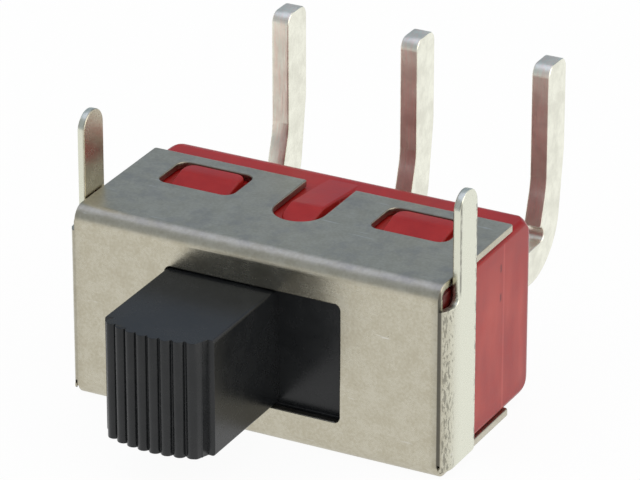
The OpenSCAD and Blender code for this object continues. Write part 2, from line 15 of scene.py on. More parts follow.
import bmesh
import bpy
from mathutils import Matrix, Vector


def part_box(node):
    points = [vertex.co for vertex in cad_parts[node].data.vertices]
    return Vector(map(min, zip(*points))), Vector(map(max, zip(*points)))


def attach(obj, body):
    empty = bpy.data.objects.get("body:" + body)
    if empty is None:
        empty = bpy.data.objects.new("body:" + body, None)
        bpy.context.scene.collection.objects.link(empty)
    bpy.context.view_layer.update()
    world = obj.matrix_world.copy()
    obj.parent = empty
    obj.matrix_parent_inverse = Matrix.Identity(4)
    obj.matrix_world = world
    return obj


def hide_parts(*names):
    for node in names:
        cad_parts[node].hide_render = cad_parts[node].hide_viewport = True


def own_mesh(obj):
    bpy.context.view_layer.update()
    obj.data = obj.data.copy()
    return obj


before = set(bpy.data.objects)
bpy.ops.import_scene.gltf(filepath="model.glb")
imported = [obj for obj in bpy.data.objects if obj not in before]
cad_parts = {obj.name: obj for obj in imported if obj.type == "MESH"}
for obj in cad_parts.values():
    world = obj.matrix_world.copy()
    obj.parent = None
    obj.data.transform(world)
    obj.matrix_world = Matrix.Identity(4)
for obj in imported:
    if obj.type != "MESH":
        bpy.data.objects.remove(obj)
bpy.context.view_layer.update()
bpy.ops.object.select_all(action="DESELECT")
print("nodes:", sorted(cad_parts))

# %% [markdown]
# ## Where things are
#
# Every size below is in millimetres. Depths are measured back from the front face of the metal
# frame, as on a drawing of the part, so one helper turns (x, depth, z) into Blender's metres.
# The frame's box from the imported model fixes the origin.

# %% Positions in millimetres
MM = 0.001
FRONT_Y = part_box("mounting_frame")[0].y
MIDDLE = -0.07  # the middle of the window and of the knob, in x
SHEET, HEIGHT = 0.25, 6.6
FLANGE_HALF, TOP_FLANGE, BOTTOM_FLANGE = 6.38, 5.24, 5.1
WINDOW_HALF, WINDOW_LOW, WINDOW_HIGH = 3.06, 1.22, 5.28  # the slider's window in the plate
SNAP_X, SNAP_HALF, SNAP_FRONT, SNAP_BACK = 3.77, 1.34, 3.0, 4.73  # the snap windows
SLOT_HALF, SLOT_FRONT = 0.87, 2.28  # the round-ended notch in the top flange


def at(x, depth, z):
    """A point in metres, from x, the depth behind the front face, and z in millimetres."""
    return Vector((x * MM, depth * MM + FRONT_Y, z * MM))


print("front face at y =", round(FRONT_Y / MM, 3), "mm")

# %% [markdown]
# ## The few moves that shape everything
#
# A press tool and a mould make simple moves, so a handful of helpers is enough: a block between
# two corners, a round rod, a round edge, a cut, a weld of two blocks into one, and a slanting
# slice. Edges are picked by where their middle lies and which way they run, which is how one
# points at them by hand.

# %% A block between two corners, and a round rod
AXES = {"x": 0, "y": 1, "z": 2}
QUARTER = math.radians(90)
ALONG = {"x": (0, QUARTER, 0), "y": (QUARTER, 0, 0), "z": (0, 0, 0)}


def settle():
    """Moves the place, turn and scale of what is selected into its mesh."""
    bpy.ops.object.transform_apply(location=True, rotation=True, scale=True)


def block(name, low, high):
    """A block between two corners, each given as (x, depth, z) in millimetres."""
    low, high = at(*low), at(*high)
    bpy.ops.mesh.primitive_cube_add(size=1, location=(low + high) / 2, scale=high - low)
    piece = bpy.context.object
    piece.name = name
    settle()
    return piece


def rod(along, radius, length, middle, sides=64):
    """A round rod along an axis, about a middle given as (x, depth, z) in millimetres."""
    bpy.ops.mesh.primitive_cylinder_add(
        vertices=sides, radius=radius * MM, depth=length * MM,
        location=at(*middle), rotation=ALONG[along],
    )
    return bpy.context.object


# %% Go in and out of edit mode, and pick edges
def only(piece):
    """Selects one piece and nothing else, and makes it the active one."""
    bpy.ops.object.select_all(action="DESELECT")
    piece.select_set(True)
    bpy.context.view_layer.objects.active = piece


def edit(piece, mode="EDGE"):
    """Enters edit mode on one piece with nothing selected, and returns its mesh."""
    only(piece)
    bpy.ops.object.mode_set(mode="EDIT")
    bpy.ops.mesh.select_mode(type=mode)
    bpy.ops.mesh.select_all(action="DESELECT")
    return bmesh.from_edit_mesh(piece.data)


def leave(piece):
    """Leaves edit mode, and keeps what code changed there."""
    bmesh.update_edit_mesh(piece.data)
    bpy.ops.object.mode_set(mode="OBJECT")


def on_all(piece, move, **settings):
    """Makes one edit-mode move on the whole of a piece."""
    edit(piece)
    bpy.ops.mesh.select_all(action="SELECT")
    move(**settings)
    leave(piece)


def pick(mesh, wanted):
    """In edit mode, selects the edges for which wanted(middle, direction) holds. Middles are
    (x, depth, z) in millimetres, and a direction is a unit vector with no sign."""
    picked = 0
    for edge in mesh.edges:
        a, b = (v.co for v in edge.verts)
        middle = (a + b) / 2
        middle = Vector((middle.x / MM, (middle.y - FRONT_Y) / MM, middle.z / MM))
        way = (b - a).normalized() if (b - a).length > 0 else Vector()
        if wanted(middle, Vector([abs(c) for c in way])):
            edge.select_set(True)
            picked += 1
    return picked


# %% Round edges
STRAIGHT, NEAR = 0.999, 0.02  # how straight along the axis, and how near in millimetres


def bevel(radius, segments):
    """In edit mode, rounds the selected edges. A bevel's offset is a round's radius in
    millimetres where two faces meet at a right angle."""
    bpy.ops.mesh.bevel(
        offset=radius * MM, segments=segments, affect="EDGES", clamp_overlap=False
    )


def round_edges(piece, along, radius, places, segments=10):
    """Rounds each edge that runs along an axis and whose middle is at one of the places.
    A place is (x, depth, z), with None for a coordinate that doesn't matter."""
    axis = AXES[along]
    mesh = edit(piece)

    def wanted(middle, way):
        return way[axis] > STRAIGHT and any(
            all(p is None or abs(middle[i] - p) < NEAR for i, p in enumerate(place))
            for place in places
        )

    picked = pick(mesh, wanted)
    bmesh.update_edit_mesh(piece.data)
    if picked:
        bevel(radius, segments)
    leave(piece)
    if picked < len(places):
        print("  only", picked, "of", len(places), "edges found on", piece.name)


# %% Cuts and welds
def combine(piece, other, operation):
    """Cuts, welds or intersects two solids, and removes the second."""
    tool = piece.modifiers.new(operation.lower(), "BOOLEAN")
    tool.operation = operation
    tool.solver = "EXACT"
    tool.object = other
    only(piece)
    bpy.ops.object.modifier_apply(modifier=tool.name)
    bpy.data.objects.remove(other)


def cut(piece, tool):
    combine(piece, tool, "DIFFERENCE")


def weld(piece, *others):
    for other in others:
        combine(piece, other, "UNION")


# %% Mirrors and slices
def flip(piece, axis):
    """Mirrors a piece through its own origin along an axis, and turns its faces outwards."""
    piece.scale[AXES[axis]] = -1
    settle()
    on_all(piece, bpy.ops.mesh.normals_make_consistent, inside=False)
    return piece


def mirrored(piece):
    """A copy of a piece on the other side of the plane x = 0."""
    only(piece)
    bpy.ops.object.duplicate()
    return flip(bpy.context.object, "x")


def slice_off(piece, point, normal):
    """Slices off what lies on the normal's side of a plane, and closes the cut."""
    on_all(
        piece, bpy.ops.mesh.bisect, plane_co=at(*point), plane_no=normal,
        clear_outer=True, use_fill=True, threshold=0.0001 * MM,
    )


# %% [markdown]
# A finished piece gets its small round edges last. Nothing real has a perfectly sharp edge, and
# it is this narrow rounding that catches the light along a sheet's rim. A few spots are too tight
# for it and are spared. Faces that meet at a shallow angle are then shaded as one surface, and
# the large flat faces are given the most say in it, so that they stay flat to the eye.

# %% Round what is sharp
TOUCHING, SEAM = 0.0005, 0.03  # corners this near are one, and so are those along an open seam


def close_seams():
    """In edit mode, joins corners that touch, and then those along any seam still open."""
    bpy.ops.mesh.select_mode(type="VERT")
    bpy.ops.mesh.select_all(action="SELECT")
    bpy.ops.mesh.remove_doubles(threshold=TOUCHING * MM)
    bpy.ops.mesh.select_all(action="DESELECT")
    bpy.ops.mesh.select_non_manifold(
        use_wire=False, use_multi_face=False, use_non_contiguous=False, use_verts=False
    )
    bpy.ops.mesh.remove_doubles(threshold=SEAM * MM)
    bpy.ops.mesh.select_all(action="SELECT")
    bpy.ops.mesh.delete_loose()


def round_sharp(piece, radius, segments, angle, spared):
    """Rounds the outer edges sharper than an angle in degrees. A spared spot is
    (|x|, depth, z, reach) in millimetres."""
    edit(piece)
    bpy.ops.mesh.edges_select_sharp(sharpness=math.radians(angle))
    mesh = bmesh.from_edit_mesh(piece.data)
    for line in [line for line in mesh.edges if line.select]:
        middle = (line.verts[0].co + line.verts[1].co) / 2
        middle.x = abs(middle.x)
        near = any((middle - at(*spot)).length < reach * MM for *spot, reach in spared)
        if near or not line.is_convex:
            line.select_set(False)
    bmesh.update_edit_mesh(piece.data)
    bevel(radius, segments)
    close_seams()
    leave(piece)


# %% Finish a piece
FLAT, SMOOTH = 0.5, 35  # degrees: faces this close are one plane, and these are shaded as one


def finished(piece, node, body, material, edge=0.025, segments=2, angle=50, spared=()):
    """Rounds the sharp edges of a piece, shades it, and puts it in its node's place."""
    edit(piece, "VERT")
    bpy.ops.mesh.select_all(action="SELECT")
    bpy.ops.mesh.remove_doubles(threshold=TOUCHING * MM)
    bpy.ops.mesh.dissolve_limited(angle_limit=math.radians(FLAT))
    leave(piece)
    round_sharp(piece, edge, segments, angle, spared)
    bpy.ops.object.shade_smooth_by_angle(angle=math.radians(SMOOTH))
    even = piece.modifiers.new("even_shading", "WEIGHTED_NORMAL")
    even.keep_sharp = True
    bpy.ops.object.modifier_apply(modifier=even.name)
    piece.data.materials.clear()
    piece.data.materials.append(material)
    piece.name = piece.data.name = node + "_visual"
    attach(piece, body)
    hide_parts(node)
    print(piece.name, len(piece.data.polygons), "faces")
    return piece


# %% [markdown]
# ## Finishes
#
# A finish is a small tree of nodes. Written as node calls it would be long and hard to read, so
# one small class stands for a node's output and lets it be added and multiplied like a number.
# Patterns are measured in the object's own coordinates, so they stay on the piece as it moves.

# %% Shader sums, written as sums
class Wire:
    """The output of a node. Sums and products of wires add Math nodes."""

    def __init__(self, finish, socket):
        self.finish, self.socket = finish, socket

    def math(self, operation, *others):
        return self.finish.add("ShaderNodeMath", {"operation": operation}, [self, *others])

    def size(self):
        return self.math("ABSOLUTE")

    def larger(self, other):
        return self.math("MAXIMUM", other)

    def __add__(self, other):
        return self.math("ADD", other)

    def __mul__(self, other):
        return self.math("MULTIPLY", other)

    def __sub__(self, other):
        return self.math("SUBTRACT", other)

    def __rsub__(self, other):
        return self.finish.add("ShaderNodeMath", {"operation": "SUBTRACT"}, [other, self])

    __radd__ = __add__
    __rmul__ = __mul__


# %% A finish, and the patterns that it is made of
class Finish:
    """A material with one Principled shader, whose constant values are set on its sockets."""

    def __init__(self, name, **constants):
        self.material = bpy.data.materials.new(name)
        self.material.use_nodes = True
        self.tree = self.material.node_tree
        self.shader = self.tree.nodes["Principled BSDF"]
        for socket, value in constants.items():
            self.set(socket.replace("_", " "), value)

    def set(self, socket, value):
        target = self.shader.inputs[socket]
        if isinstance(value, Wire):
            self.tree.links.new(value.socket, target)
        else:
            target.default_value = value

    def add(self, kind, settings, inputs, output=0):
        """A node of that kind. Its settings come first, then the values or wires of its sockets."""
        node = self.tree.nodes.new(kind)
        for key, value in settings.items():
            setattr(node, key, value)
        pairs = inputs.items() if isinstance(inputs, dict) else enumerate(inputs)
        for key, value in pairs:
            if isinstance(value, Wire):
                self.tree.links.new(value.socket, node.inputs[key])
            else:
                node.inputs[key].default_value = value
        return Wire(self, node.outputs[output])

    def place(self, scale=(1, 1, 1), turn=(0, 0, 0)):
        """The place on the piece, stretched or turned."""
        here = self.add("ShaderNodeTexCoord", {}, {}, "Object")
        turn = [math.radians(t) for t in turn]
        mapping = {"Vector": here, "Scale": scale, "Rotation": turn}
        return self.add("ShaderNodeMapping", {}, mapping)

    def noise(self, size_mm, detail=2.0, stretch=(1, 1, 1), turn=(0, 0, 0), rough=0.5):
        """Cloudy noise from 0 to 1 whose patches are about that size."""
        place = self.place([s / (size_mm * MM) for s in stretch], turn)
        settings = {"Vector": place, "Scale": 1.0, "Detail": detail, "Roughness": rough}
        return self.add("ShaderNodeTexNoise", {}, settings, "Fac")

    def band(self, value, low, high):
        """0 below low, 1 above high, and a smooth rise between. A low above high turns it round."""
        reach = {"Value": value, "From Min": low, "From Max": high}
        return self.add("ShaderNodeMapRange", {"interpolation_type": "SMOOTHSTEP"}, reach)

    def fall(self, value, low, high):
        """1 below low, 0 above high, and a smooth fall between."""
        return 1 - self.band(value, low, high)

    def between(self, value, rise, fall):
        """0, then 1, then 0 again, with its rise and its fall each given as (low, high)."""
        return self.band(value, *rise) * self.fall(value, *fall)

    def blend(self, amount, a, b):
        """Colour a where the amount is 0, and colour b where it is 1."""
        a, b = (c if isinstance(c, Wire) else (*c, 1) for c in (a, b))
        return self.add("ShaderNodeMix", {"data_type": "RGBA"}, {0: amount, 6: a, 7: b}, 2)

    def ruler(self, axis):
        """How far along an axis a point of the piece lies, in millimetres."""
        return self.add("ShaderNodeSeparateXYZ", {}, [self.place((1 / MM,) * 3)], AXES[axis])

    def rulers(self):
        """Where a point of the piece lies: x, the depth and z, in millimetres."""
        return self.ruler("x"), self.ruler("y") - FRONT_Y / MM, self.ruler("z")

    def facing(self, axis):
        """1 where the surface faces along an axis, either way, and 0 where it lies along it."""
        normal = self.add("ShaderNodeNewGeometry", {}, {}, "Normal")
        return self.add("ShaderNodeSeparateXYZ", {}, [normal], AXES[axis]).size()

    def bump(self, height, depth_mm):
        """Small relief, which the shading shows and the mesh doesn't have."""
        relief = {"Height": height, "Distance": depth_mm * MM}
        self.set("Normal", self.add("ShaderNodeBump", {}, relief))


# %% [markdown]
# ### Tinned sheet
#
# The frame's sheet is tin plate: a warm, satin grey with a faint mottle, fine rolling marks along
# its length, and a few scuffs from the tools that folded it. The pattern goes mostly into
# roughness, because metal shows its wear in how it mirrors, more than in its colour.
# The creases of the folds and the cut walls of the windows are darkened in colour, as painted shade
# and painted dark reflection, and the legs' front edges carry a painted shadow.

# %% Painted shade, painted shadow and wear at the folded ends
END = 6.44, 6.5  # across these places, in x, the plate turns into an end strip


def painted_crease_shade(finish, across, depth, height):
    """Painted shade and painted dark reflection in each end's crease, and painted shade a little
    beside it, most of it at the right end.
    """
    side, right = across.size(), finish.band(across, -0.1, 0.1) * 0.75 + 0.25
    # The crease line is a painted dark reflection, and the band beside it is painted shade.
    crease_shade = finish.between(side, (6.32, 6.37), (6.44, 6.48))
    crease_shade = crease_shade + finish.between(side, (6.05, 6.34), (6.34, 6.38)) * 0.22
    return crease_shade * finish.fall(depth, 0.1, 0.2) * finish.band(height, 0.4, 0.5) * right


def end_wear_and_burr_shadow(finish, side, depth, height):
    """The pitted band behind each crease, and the burr marks on the leg's front and back edges,
    with a painted shadow along the front one.
    """
    specks = finish.noise(0.07, detail=4.0, stretch=(1, 1, 0.35), rough=0.6)
    pitted = finish.band(side, *END) * finish.between(depth, (0.03, 0.08), (0.4, 0.7))
    pitted = pitted * finish.band(specks + finish.band(depth, 0.5, 0.1) * 0.08, 0.54, 0.66)
    # The dark line along each leg's front edge is the painted shadow of its burr.
    front = finish.between(depth, (0.83, 0.87), (0.92, 1.0)) * finish.band(height, 5.9, 6.2)
    back = finish.band(depth, 1.9, 1.96) * finish.band(specks, 0.5, 0.62)
    burrs = front.larger(back) * finish.band(side, 6.6, 6.64) * finish.band(specks, 0.3, 0.55)
    return pitted.larger(burrs * 1.3)


# %% Painted shade on the cut walls of the punched windows
RIM = 0.05, 0.06  # how far a rolled rim, and the painted shade on it, reaches round its window, and where that shade ends


def window_wall_shade(finish, across, depth, height):
    """Painted shade and painted dark reflection on the cut faces of the slider's window, and on the
    rolled rim of each window in the flanges.
    """
    middle = (across - MIDDLE).size()
    level = (height - (WINDOW_LOW + WINDOW_HIGH) / 2).size()
    # The slider's window walls are painted dark: painted shade and a painted reflection of the
    # black plate behind.
    window = finish.fall(middle, WINDOW_HALF + 0.03, WINDOW_HALF + 0.06)
    window = window * finish.fall(level, 2.06, 2.1) * finish.fall(depth, SHEET + 0.02, SHEET + 0.05)
    window = window * finish.fall(finish.facing("y"), 0.3, 0.7)
    side, ends = across.size(), [SNAP_BACK + rim for rim in RIM]
    snaps = finish.fall((side - SNAP_X).size(), *[SNAP_HALF + rim for rim in RIM])
    snaps = snaps * finish.between(depth, [SNAP_FRONT - rim for rim in reversed(RIM)], ends)
    notch = finish.fall(side, *[SLOT_HALF + rim for rim in RIM])
    rim_shade = snaps.larger(notch * finish.band(depth, SLOT_FRONT - 0.08, SLOT_FRONT - 0.04))
    return window.larger(rim_shade * finish.fall(finish.facing("z"), 0.9, 0.98) * 0.55)


# %% Tinned sheet
def tinned_sheet():
    finish = Finish("tinned_sheet", Metallic=1.0)
    across, depth, height = finish.rulers()
    side = across.size()
    flat = finish.band(finish.facing("z"), 0.5, 0.9)
    mottle = finish.noise(0.55, detail=4.0, rough=0.65)
    grain = finish.noise(0.10, detail=2.0)
    smudge = finish.noise(0.9, detail=5.0, rough=0.7)
    cloud = finish.noise(2.6, detail=2.0)
    rolling = finish.noise(0.09, detail=2.0, stretch=(0.06, 1.0, 1.0))
    scuff = finish.noise(0.16, detail=3.0, stretch=(0.12, 1, 1), turn=(20, 35, 32))
    scuffs = finish.band(scuff, 0.66, 0.74) * finish.band(cloud, 0.45, 0.62)
    pits = finish.band(finish.noise(0.11, detail=2.0), 0.70, 0.76) * finish.band(cloud, 0.5, 0.65)

    # The end strips are given a brighter tone, which rises towards the legs
    brighter_ends = finish.band(side, *END) * finish.band(depth, -0.3, 1.1)
    drift = finish.band(mottle * 0.55 + grain * 0.45, 0.35, 0.65)
    tone = finish.blend(drift, (0.47, 0.435, 0.335), (0.555, 0.525, 0.425))
    tone = finish.blend(flat * finish.band(smudge, 0.45, 0.7) * 0.6, tone, (0.36, 0.34, 0.31))
    tone = finish.blend(brighter_ends, tone, (0.74, 0.75, 0.63))
    tone = finish.blend(scuffs * 0.6, tone, (0.72, 0.71, 0.67))

    # Painted shade and painted dark reflection in the creases.
    crease_shade = painted_crease_shade(finish, across, depth, height)
    # Real wear and pits, with a painted shadow along the legs' front burrs.
    wear_and_burr_shadow = end_wear_and_burr_shadow(finish, side, depth, height)
    # Painted shade and painted dark reflection on the windows' cut walls.
    rim_shade = window_wall_shade(finish, across, depth, height)
    dark = crease_shade.larger(wear_and_burr_shadow * 0.6).larger(rim_shade).larger(pits * 0.35)
    # Real wear and pits, and the painted shade, shadow and dark reflection above, all darken the
    # colour here.
    finish.set("Base Color", finish.blend(dark * 0.88, tone, (0.07, 0.065, 0.055)))

    # The metal is duller where the bends stretched it, and on the flanges
    bend = finish.fall(depth, 0.42, 0.55) * finish.band((height - HEIGHT / 2).size(), 2.75, 2.9)
    dull = bend.larger(flat * 0.8)
    rough = 0.19 + mottle * 0.10 + rolling * 0.05 - scuffs * 0.06 + dull * 0.11
    finish.set("Roughness", rough + dark * 0.15)
    marks = mottle * 0.5 + grain * 0.35 + rolling * 0.3 + scuffs * 0.5
    finish.bump(marks - crease_shade * 2.0 - wear_and_burr_shadow - pits, 0.004)
    return finish.material


# %% [markdown]
# ### Tinned terminals
#
# The terminals are stamped from thick strip and then dipped or plated bright. Their wide sides
# are the strip's rolled faces, with a few stains. The narrow sides were sheared by the press, so
# they carry fine marks along the cut and look duller. They are also given a redder tone.

# %% Tinned terminals
def tinned_strip():
    finish = Finish("tinned_strip", Metallic=1.0)
    mottle = finish.noise(0.7, detail=4.0, rough=0.6)
    shear = finish.noise(0.07, detail=3.0, stretch=(1.0, 0.5, 0.1))
    stain = finish.noise(0.16, detail=5.0, stretch=(1, 1, 0.5), rough=0.75)
    stains = finish.band(stain, 0.60, 0.74) * finish.band(mottle, 0.42, 0.6)
    sheared = finish.fall(finish.facing("x"), 0.3, 0.8)
    redder = sheared * finish.band(shear, 0.35, 0.75) * 0.35
    tone = finish.blend(finish.band(mottle, 0.3, 0.7), (0.74, 0.735, 0.63), (0.90, 0.90, 0.78))
    tone = finish.blend(stains * 0.6, tone, (0.42, 0.40, 0.31))
    finish.set("Base Color", finish.blend(redder, tone, (0.95, 0.62, 0.53)))
    rough = 0.17 + mottle * 0.08 + stains * 0.15
    finish.set("Roughness", rough + sheared * (0.15 + shear * 0.16))
    finish.bump(mottle * 0.4 + sheared * shear - stains * 0.3, 0.006)
    return finish.material


# %% [markdown]
# ### Mouldings
#
# The case and the knob are moulded in satin plastic. A moulding's surface is never quite even:
# the colour drifts a little, the gloss more, and a fine grain comes off the mould.

# %% Mouldings
def moulding(name, deep, light, roughness, gloss=0.5, grain_mm=0.06, grain=0.0025):
    """A moulded plastic. Its colour is kept as its tone, for what may be laid over it."""
    finish = Finish(name, Specular_IOR_Level=gloss)
    drift = finish.noise(2.2, detail=3.0)
    cloud = finish.noise(0.45, detail=4.0, rough=0.6)
    grit = finish.noise(grain_mm, detail=2.0)
    finish.tone = finish.blend(finish.band(drift * 0.6 + cloud * 0.4, 0.3, 0.7), deep, light)
    finish.set("Base Color", finish.tone)
    finish.set("Roughness", roughness + (cloud - 0.5) * 0.12 + (drift - 0.5) * 0.12)
    finish.bump(grit + cloud * 0.8, grain)
    return finish


# %% The red moulding, with painted sheen and painted shade
PARTING, DENT_D = 4.67, 4.45  # depths
DENTS_Z, DENT_OFF = 4.9, 0.5  # the height midway between two dents, and how far each is from it


def red_case():
    """Its sides are painted paler, most in the middle, as a painted sheen from the side light, with
    painted shade towards their edges and under the top flange. They carry a faint parting line and
    two small dents, drawn only as dark spots of painted shade. Painted shade darkens the open front
    corners."""
    deep, light = (0.28, 0.006, 0.006), (0.36, 0.012, 0.009)
    finish = moulding("red_moulding", deep, light, 0.33, gloss=0.32)
    across, depth, height = finish.rulers()
    sides = finish.band(finish.facing("x"), 0.9, 0.99)

    # Painted sheen on the side faces, fading towards their edges and under the top flange as
    # painted shade.
    sheen_fading_upwards = 1 - finish.band(height, 3.8, 6.1) * 0.75
    inner = finish.between(height, (0.5, 1.1), (5.6, 6.0)) * sheen_fading_upwards * finish.fall(depth, 5.9, 6.45)
    painted_sheen_patch = inner * finish.band(finish.noise(1.6, detail=3.0, stretch=(1, 1, 0.4)), 0.3, 0.65)
    tone = finish.blend(sides * (0.15 + painted_sheen_patch * 0.85), finish.tone, (0.47, 0.050, 0.034))
    line = finish.fall((depth - PARTING).size(), 0.02, 0.08)
    tone = finish.blend(sides * line * 0.35, tone, (0.60, 0.11, 0.09))

    # The two dents are drawn only as dark spots in the colour: painted shade.
    off = ((height - DENTS_Z).size() - DENT_OFF).size()
    dents = finish.fall((depth - DENT_D).size(), 0.03, 0.08) * finish.fall(off, 0.08, 0.18)
    tone = finish.blend(sides * dents * 0.9, tone, (0.16, 0.004, 0.004))
    # Painted shade in the open front corners, seen through the notches in front of the legs.
    corner = finish.band(across.size(), 5.9, 6.2) * finish.fall(depth, 0.9, 1.2)
    corner = corner * finish.band(height, 5.0, 5.5)
    finish.set("Base Color", finish.blend(corner * 0.8, tone, (0.03, 0.001, 0.001)))
    return finish.material


# %% Make the finishes of the pieces that show
sheet_finish = tinned_sheet()
strip_finish = tinned_strip()
red_finish = red_case()
blacks = (0.009, 0.010, 0.011), (0.016, 0.017, 0.018)
black_finish = moulding("black_moulding", *blacks, 0.26, gloss=0.36).material
browns = (0.10, 0.012, 0.010), (0.16, 0.022, 0.018)
seal_finish = moulding("seal_compound", *browns, 0.26, grain_mm=0.3, grain=0.01).material
made = sheet_finish, strip_finish, red_finish, black_finish, seal_finish
print("finishes:", [material.name for material in made])

# %% [markdown]
# ## The mounting frame
#
# The frame is one sheet, 0.25 mm thick, with four folds. Modelled as a thin shell it would need
# care at every bend. It is easier to fold it as the press does: take a box, throw away the sides
# that aren't there, round the bends, and give the skin its thickness inwards. The inside of each
# bend then comes out right by itself.

# %% Front plate with its two flanges
BEND_R, FLANGE_R = 0.5, 0.1
channel = block("channel", (-FLANGE_HALF, 0, 0), (FLANGE_HALF, TOP_FLANGE, HEIGHT))
mesh = edit(channel, "FACE")
for face in mesh.faces:
    if face.normal.y > 0.9 or abs(face.normal.x) > 0.9:
        face.select_set(True)
bmesh.update_edit_mesh(channel.data)
bpy.ops.mesh.delete(type="FACE")
leave(channel)
round_edges(channel, "x", BEND_R, [(0, 0, 0), (0, 0, HEIGHT)], 16)
thick = channel.modifiers.new("thickness", "SOLIDIFY")
thick.thickness, thick.offset, thick.use_even_offset = SHEET * MM, -1, True
bpy.ops.object.modifier_apply(modifier=thick.name)
cut(channel, block("shorter_bottom", (-8, BOTTOM_FLANGE, -1), (8, 6, 1)))
flange_ends = [(s * FLANGE_HALF, d, None) for s in (-1, 1) for d in (BOTTOM_FLANGE, TOP_FLANGE)]
round_edges(channel, "z", FLANGE_R, flange_ends, 5)
print("plate and flanges:", len(channel.data.polygons), "faces")

# %% [markdown]
# The end strips and legs are one more folded sheet on each side. Only the right one is modelled.
# Its fold isn't a plain round bend: the press creases the sheet sharply, and from that crease one
# arc runs round to the side. So this one starts as a solid block. Its corner edge is moved in to
# the crease, the edge that this makes on the side gets the round, and then the inside is cut out.

# %% Crease and fold the end
STRIP_LOW, STRIP_HIGH = 0.28, 5.8
LEG_IN, LEG_OUT, LEG_FRONT, LEG_BACK, LEG_TOP = 6.42, 6.67, 0.82, 2.04, 9.37
JOIN, CREASE_X, FOLD_D, FOLD_R, INNER_R = 6.1, 6.43, 0.2226, 0.325, 0.15
end = block("end", (JOIN, 0, STRIP_LOW), (LEG_OUT, LEG_BACK, LEG_TOP))
on_all(end, bpy.ops.mesh.bisect, plane_co=at(0, FOLD_D, 0), plane_no=(0, 1, 0))


def corner_edge(middle, way):
    return way.z > STRAIGHT and abs(middle.x - LEG_OUT) < NEAR and abs(middle.y) < NEAR


pick(edit(end), corner_edge)
bmesh.update_edit_mesh(end.data)
bpy.ops.transform.translate(value=((CREASE_X - LEG_OUT) * MM, 0, 0))
leave(end)
round_edges(end, "z", FOLD_R, [(LEG_OUT, FOLD_D, None)], 12)
inside = block("inside", (5, SHEET, -1), (LEG_IN, 3, 12))
round_edges(inside, "z", INNER_R, [(LEG_IN, SHEET, None)], 6)
cut(end, inside)

# %% [markdown]
# The end starts as tall as the leg. A notch is cut away in front of the leg, and the leg's tip
# is rounded. A slit that ends in a small round hole frees the fold's foot from the bottom bend.

# %% Shape the leg, and free the fold's foot
NOTCH_R, TIP_R, HEEL_R, HOLE_X, HOLE_R = 0.25, 0.6, 0.12, 6.4, 0.06
notch = block("notch", (5, -1, STRIP_HIGH), (8, LEG_FRONT, 12))
round_edges(notch, "x", NOTCH_R, [(None, LEG_FRONT, STRIP_HIGH)])
cut(end, notch)
round_edges(end, "x", TIP_R, [(None, d, LEG_TOP) for d in (LEG_FRONT, LEG_BACK)], 12)
round_edges(end, "x", HEEL_R, [(None, LEG_BACK, STRIP_LOW)], 6)
cut(end, block("relief", (5, -1, 0), (LEG_IN, 1, BEND_R)))
cut(end, rod("y", HOLE_R, 2, (HOLE_X, 0, BEND_R), 32))
print("one end:", len(end.data.polygons), "faces")
weld(channel, end, mirrored(end))

# %% [markdown]
# The windows are punched last, as cutters with round corners. One cutter goes through both
# flanges, so the snap windows above and below line up.

# %% Punch the windows
WINDOW_R, SNAP_R, SLOT_R, MOUTH_R = 0.2, 0.35, 0.865, 0.05
ends = MIDDLE - WINDOW_HALF, MIDDLE + WINDOW_HALF
window = block("window", (ends[0], -1, WINDOW_LOW), (ends[1], 1, WINDOW_HIGH))
corners = [(x, None, z) for x in ends for z in (WINDOW_LOW, WINDOW_HIGH)]
round_edges(window, "y", WINDOW_R, corners, 8)
cut(channel, window)
for side in (-1, 1):
    ends = side * SNAP_X - SNAP_HALF, side * SNAP_X + SNAP_HALF
    snap = block("snap", (ends[0], SNAP_FRONT, -1), (ends[1], SNAP_BACK, 8))
    corners = [(x, d, None) for x in ends for d in (SNAP_FRONT, SNAP_BACK)]
    round_edges(snap, "z", SNAP_R, corners, 8)
    cut(channel, snap)
slot = block("slot", (-SLOT_HALF, SLOT_FRONT, 5), (SLOT_HALF, 7, 8))
round_edges(slot, "z", SLOT_R, [(s * SLOT_HALF, SLOT_FRONT, None) for s in (-1, 1)], 16)
cut(channel, slot)
round_edges(channel, "z", MOUTH_R, [(s * SLOT_HALF, TOP_FLANGE, None) for s in (-1, 1)], 4)

# %% Finish the frame, and spare both ends of the fold, which are too tight to be rounded
fold_ends = [(6.38, 0.1, STRIP_HIGH + 0.05, 0.3), (6.41, 0.12, BEND_R, 0.18)]
finished(
    channel, "mounting_frame", "base", sheet_finish, edge=0.045, segments=3,
    spared=fold_ends,
)

# %% [markdown]
# ## The case
#
# A moulded box with a different rounding along each run of edges: the back's top and bottom edges
# are the roundest, the long edges less so. Three blocks are rounded one way each, and what they
# have in common is the case. Where three edges meet at the back, a bevel would leave a small
# peak, so a ball is fitted in each of those corners and what lies outside it is cut away.

# %% The case's block
CASE_HALF, CASE_FRONT, CASE_BACK = 6.35, 0.27, 6.79
CASE_LOW, CASE_HIGH = 0.27, 6.33
BACK_R, FRONT_R = 0.5, 0.25  # the top and bottom edges
BACK_SIDE_R, FRONT_SIDE_R, LONG_R = 0.42, 0.15, 0.22  # the upright edges and the long ones
levels = CASE_LOW, CASE_HIGH
corners = (-CASE_HALF, CASE_FRONT, CASE_LOW), (CASE_HALF, CASE_BACK, CASE_HIGH)
case = block("case", *corners)
round_edges(case, "x", BACK_R, [(0, CASE_BACK, z) for z in levels])
round_edges(case, "x", FRONT_R, [(0, CASE_FRONT, z) for z in levels])
upright = block("upright", *corners)
round_edges(upright, "z", BACK_SIDE_R, [(s * CASE_HALF, CASE_BACK, None) for s in (-1, 1)])
round_edges(upright, "z", FRONT_SIDE_R, [(s * CASE_HALF, CASE_FRONT, None) for s in (-1, 1)])
combine(case, upright, "INTERSECT")
level = block("level", *corners)
round_edges(level, "y", LONG_R, [(s * CASE_HALF, None, z) for s in (-1, 1) for z in levels])
